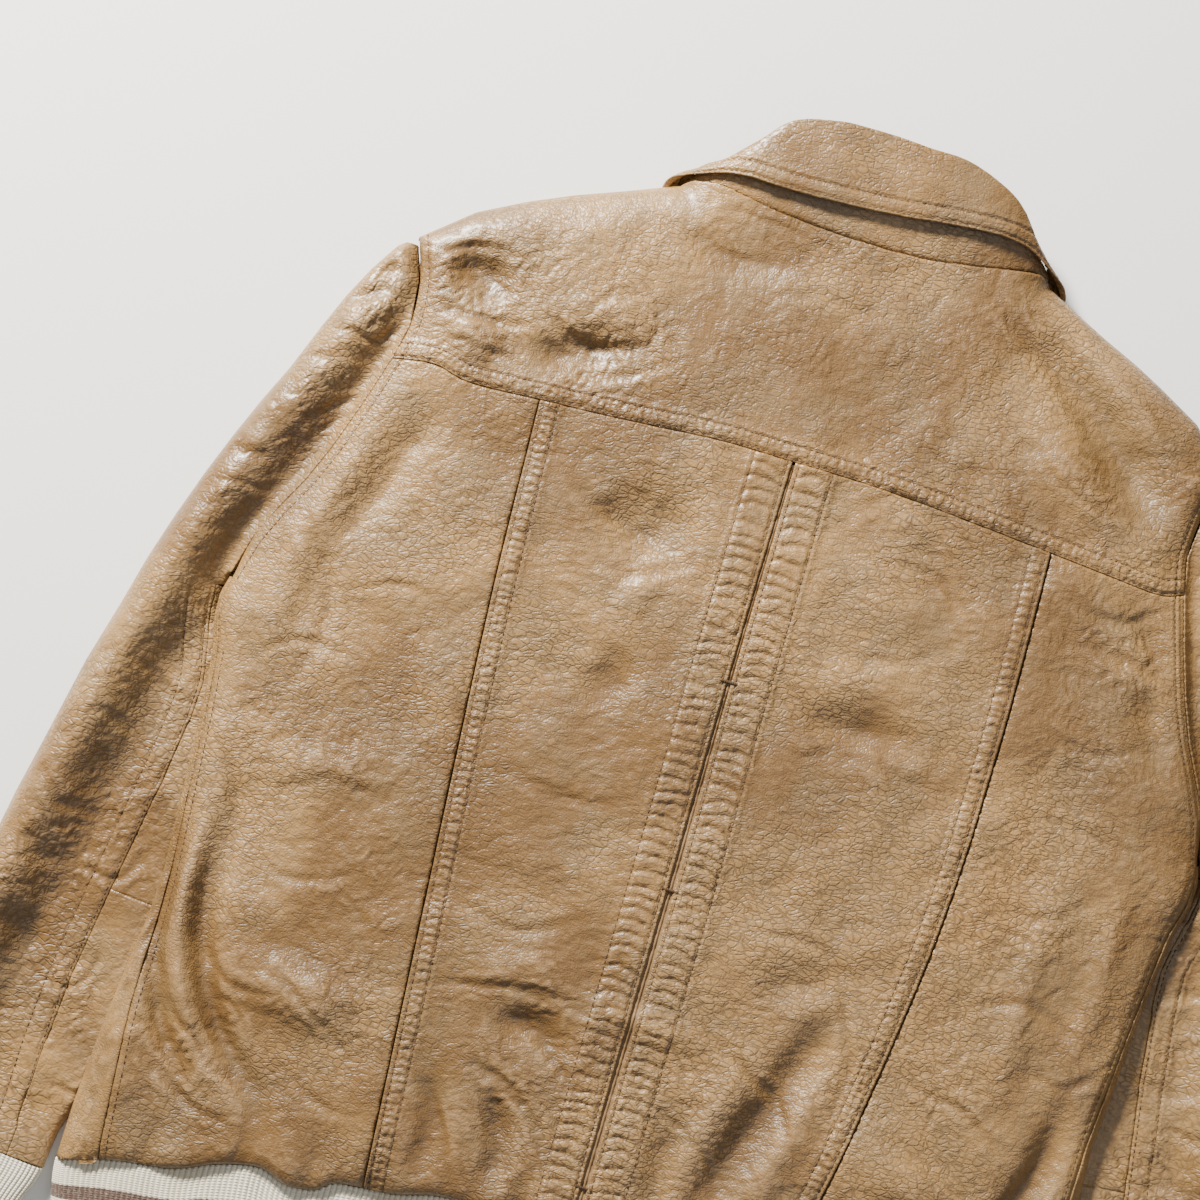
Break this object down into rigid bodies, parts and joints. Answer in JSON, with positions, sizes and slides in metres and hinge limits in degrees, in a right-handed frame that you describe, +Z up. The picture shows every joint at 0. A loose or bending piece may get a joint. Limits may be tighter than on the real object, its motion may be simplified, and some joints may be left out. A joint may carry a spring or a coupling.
{
  "type": "leather blouson jacket",
  "caption": "Worn tan leather blouson jacket laid flat face down: folded shirt collar, back yoke, panelled back with a slit, set-in sleeves, rib-knit waistband and cuffs.",
  "frame": {"origin": "on the floor below the middle of the jacket's box", "axes": "+Z up out of the back, +Y from the waistband to the collar, +X to the right sleeve as the back is seen"},
  "size_m": [0.7622, 0.7312, 0.0339],
  "materials": {
    "leather": "worn, satin, fine pebble grain with creases",
    "underlay": "dark brown strip under the slit",
    "rib": "cream rib knit with brown stripes",
    "stud": "old, dull"
  },
  "bodies": {
    "root": {"back_centre_left": "leather", "back_centre_right": "leather", "back_side_left": "leather", "back_side_right": "leather", "back_yoke": "leather", "collar_leaf": "leather", "collar_stand": "leather", "front_left": "leather", "front_right": "leather", "sleeve_top_left": "leather", "sleeve_top_right": "leather", "sleeve_under_lower_left": "leather", "sleeve_under_lower_right": "leather", "sleeve_under_upper_left": "leather", "sleeve_under_upper_right": "leather", "centre_strip": "underlay", "hem_rib": "rib", "cuff_left": "rib", "cuff_right": "rib", "stud_1": "stud", "stud_2": "stud", "stud_3": "stud", "stud_4": "stud", "stud_5": "stud", "stud_6": "stud"}
  },
  "joints": []
}
